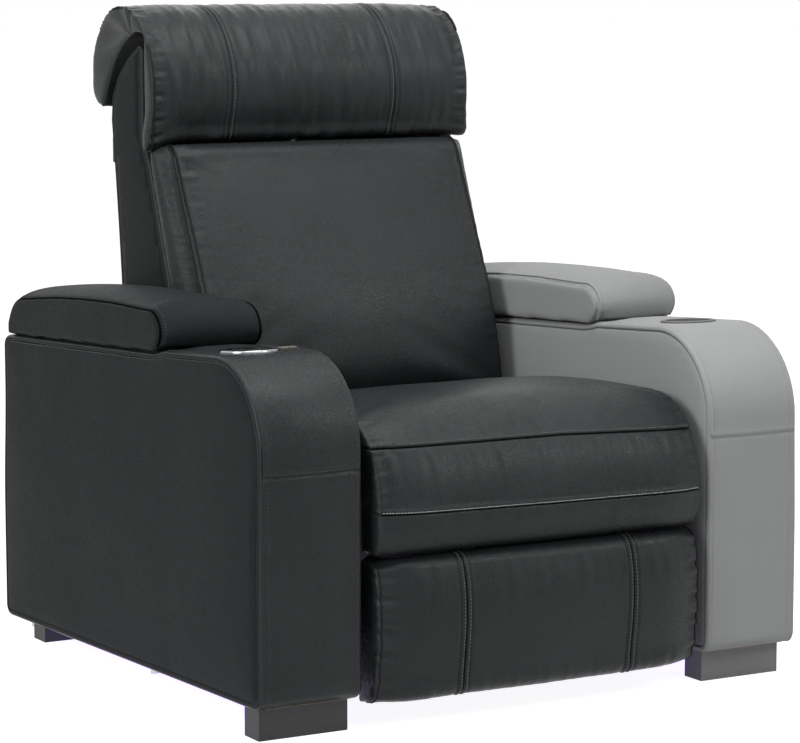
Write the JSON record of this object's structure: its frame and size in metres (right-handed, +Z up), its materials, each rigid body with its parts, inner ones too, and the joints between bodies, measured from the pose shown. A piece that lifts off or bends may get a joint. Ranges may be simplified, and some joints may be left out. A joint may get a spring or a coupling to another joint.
{
  "type": "cinema recliner seat",
  "caption": "Upholstered home cinema recliner with padded lidded arms, cup holders, a powered leg rest, a reclining back and a tilting headrest.",
  "frame": {"origin": "on the floor, under the middle of the seat's overall box", "axes": "+X to the sitter's left (the viewer's right), +Y to the back of the seat, +Z up"},
  "size_m": [0.96, 1.0073, 1.0682],
  "materials": {
    "black_leather": "pebbled, satin",
    "grey_leather": "pebbled, satin",
    "black_fabric": "woven lining, matte",
    "webbing_fabric": "woven, matte",
    "frame_wood": "raw plywood, matte",
    "black_wood": "painted, satin",
    "grey_wood": "painted, satin",
    "black_steel": "powder coat, satin",
    "zinc_steel": "zinc plated, satin",
    "polished_chrome": "polished",
    "black_plastic": "moulded, matte",
    "grey_plastic": "moulded, matte",
    "panel_plastic": "moulded, gloss",
    "button_plastic": "moulded, satin",
    "blue_lens": "lit lens, gloss",
    "purple_light": "lit strip"
  },
  "bodies": {
    "base": {"left_arm_cover": "black_leather", "left_arm_frame": "frame_wood", "left_storage_bin": "black_plastic", "left_cup_liner": "polished_chrome", "left_cup_ring": "polished_chrome", "left_lid_hinge_base": "zinc_steel", "left_front_foot": "black_wood", "left_rear_foot": "black_wood", "right_arm_cover": "grey_leather", "right_arm_frame": "frame_wood", "right_storage_bin": "grey_plastic", "right_cup_liner": "grey_plastic", "right_cup_ring": "grey_plastic", "right_lid_hinge_base": "zinc_steel", "right_front_foot": "grey_wood", "right_rear_foot": "grey_wood", "left_control_panel": "panel_plastic", "control_lamp": "blue_lens", "seat_frame": "frame_wood", "seat_webbing": "webbing_fabric", "seat_cushion": "black_leather", "mechanism_plates": "black_steel", "motor_mount_tube": "black_steel", "middle_rail": "black_wood", "rear_rail": "black_wood", "power_box": "black_plastic", "power_inlet": "black_plastic", "led_strips": "purple_light", "arm_bolts": "polished_chrome", "base_pins": "zinc_steel"},
    "left_lid": {"left_lid_board": "frame_wood", "left_lid_pad": "black_leather", "left_lid_hinge_leaf": "zinc_steel"},
    "right_lid": {"right_lid_board": "frame_wood", "right_lid_pad": "grey_leather", "right_lid_hinge_leaf": "zinc_steel"},
    "recline_button": {"recline_button": "button_plastic"},
    "return_button": {"return_button": "button_plastic"},
    "rear_links": {"rear_links": "black_steel", "drive_tube": "black_steel"},
    "front_links": {"front_links": "black_steel"},
    "carrier_links": {"carrier_links": "black_steel"},
    "guide_links": {"guide_links": "black_steel"},
    "leg_rest": {"leg_rest_brackets": "black_steel", "leg_rest_board": "frame_wood", "leg_rest_cushion": "black_leather"},
    "leg_motor": {"leg_motor": "black_plastic"},
    "leg_motor_rod": {"leg_motor_rod": "zinc_steel"},
    "back": {"back_cover": "black_leather", "back_frame": "frame_wood", "back_cushion": "black_leather", "headrest_mount": "black_steel", "headrest_motor": "black_plastic"},
    "back_motor": {"back_motor": "black_plastic"},
    "back_motor_rod": {"back_motor_rod": "zinc_steel"},
    "headrest": {"headrest_frame": "black_steel", "headrest_pillow": "black_leather", "headrest_flap": "black_leather"},
    "headrest_motor_rod": {"headrest_motor_rod": "zinc_steel"}
  },
  "joints": [
    {"name": "leg_rest_drive", "type": "hinge", "parent": "base", "child": "rear_links", "pos_m": [0, -0.2484, 0.2781], "axis": [-1, 0, 0], "range_deg": [0, 90.75]},
    {"name": "front_link_swing", "type": "hinge", "parent": "base", "child": "front_links", "pos_m": [0, -0.2779, 0.312], "axis": [-1, 0, 0], "range_deg": [0, 90.6]},
    {"name": "carrier_fold", "type": "hinge", "parent": "rear_links", "child": "carrier_links", "pos_m": [0, -0.1593, 0.0949], "axis": [-1, 0, 0], "range_deg": [-88.4, 0]},
    {"name": "guide_fold", "type": "hinge", "parent": "front_links", "child": "guide_links", "pos_m": [0, -0.1574, 0.088], "axis": [-1, 0, 0], "range_deg": [-88.1, 0]},
    {"name": "leg_rest_tilt", "type": "hinge", "parent": "carrier_links", "child": "leg_rest", "pos_m": [0, -0.3984, 0.245], "axis": [-1, 0, 0], "range_deg": [0, 83.6]},
    {"name": "leg_motor_swing", "type": "hinge", "parent": "base", "child": "leg_motor", "pos_m": [0, -0.0355, 0.225], "axis": [-1, 0, 0], "range_deg": [0, 8.9]},
    {"name": "leg_motor_stroke", "type": "slide", "parent": "leg_motor", "child": "leg_motor_rod", "axis": [0, -0.9993, 0.0376], "range_m": [0, 0.0467]},
    {"name": "back_recline", "type": "hinge", "parent": "base", "child": "back", "pos_m": [0, 0.1745, 0.345], "axis": [-1, 0, 0], "range_deg": [0, 35]},
    {"name": "back_motor_swing", "type": "hinge", "parent": "base", "child": "back_motor", "pos_m": [0, 0.0165, 0.245], "axis": [-1, 0, 0], "range_deg": [0, 5.5]},
    {"name": "back_motor_stroke", "type": "slide", "parent": "back_motor", "child": "back_motor_rod", "axis": [0, 0.9977, 0.0682], "range_m": [-0.0594, 0]},
    {"name": "headrest_tilt", "type": "hinge", "parent": "back", "child": "headrest", "pos_m": [0, 0.2865, 0.856], "axis": [1, 0, 0], "range_deg": [0, 30]},
    {"name": "headrest_motor_stroke", "type": "slide", "parent": "back", "child": "headrest_motor_rod", "axis": [0, 0, 1], "range_m": [0, 0.0271]},
    {"name": "left_lid_hinge", "type": "hinge", "parent": "base", "child": "left_lid", "pos_m": [-0.395, 0.4856, 0.512], "axis": [-1, 0, 0], "range_deg": [0, 80]},
    {"name": "right_lid_hinge", "type": "hinge", "parent": "base", "child": "right_lid", "pos_m": [0.395, 0.4856, 0.512], "axis": [-1, 0, 0], "range_deg": [0, 80]},
    {"name": "recline_press", "type": "slide", "parent": "base", "child": "recline_button", "axis": [0, -0.0647, -0.9979], "range_m": [0, 0.0012], "stiffness_N_per_m": 600, "springref_m": -0.0004},
    {"name": "return_press", "type": "slide", "parent": "base", "child": "return_button", "axis": [0, -0.0647, -0.9979], "range_m": [0, 0.0012], "stiffness_N_per_m": 600, "springref_m": -0.0004}
  ],
  "couplings": [
    {"joint": "front_link_swing", "follows": "leg_rest_drive", "ratio": 0.99721},
    {"joint": "carrier_fold", "follows": "leg_rest_drive", "ratio": -0.97235},
    {"joint": "guide_fold", "follows": "leg_rest_drive", "ratio": -0.9691},
    {"joint": "leg_rest_tilt", "follows": "leg_rest_drive", "ratio": 0.92006},
    {"joint": "leg_motor_swing", "follows": "leg_rest_drive", "ratio": 0.097129},
    {"joint": "leg_motor_stroke", "follows": "leg_rest_drive", "m_per_rad": 0.029341},
    {"joint": "back_motor_swing", "follows": "back_recline", "ratio": 0.15551},
    {"joint": "back_motor_stroke", "follows": "back_recline", "m_per_rad": -0.097059},
    {"joint": "headrest_motor_stroke", "follows": "headrest_tilt", "m_per_rad": 0.051566}
  ]
}
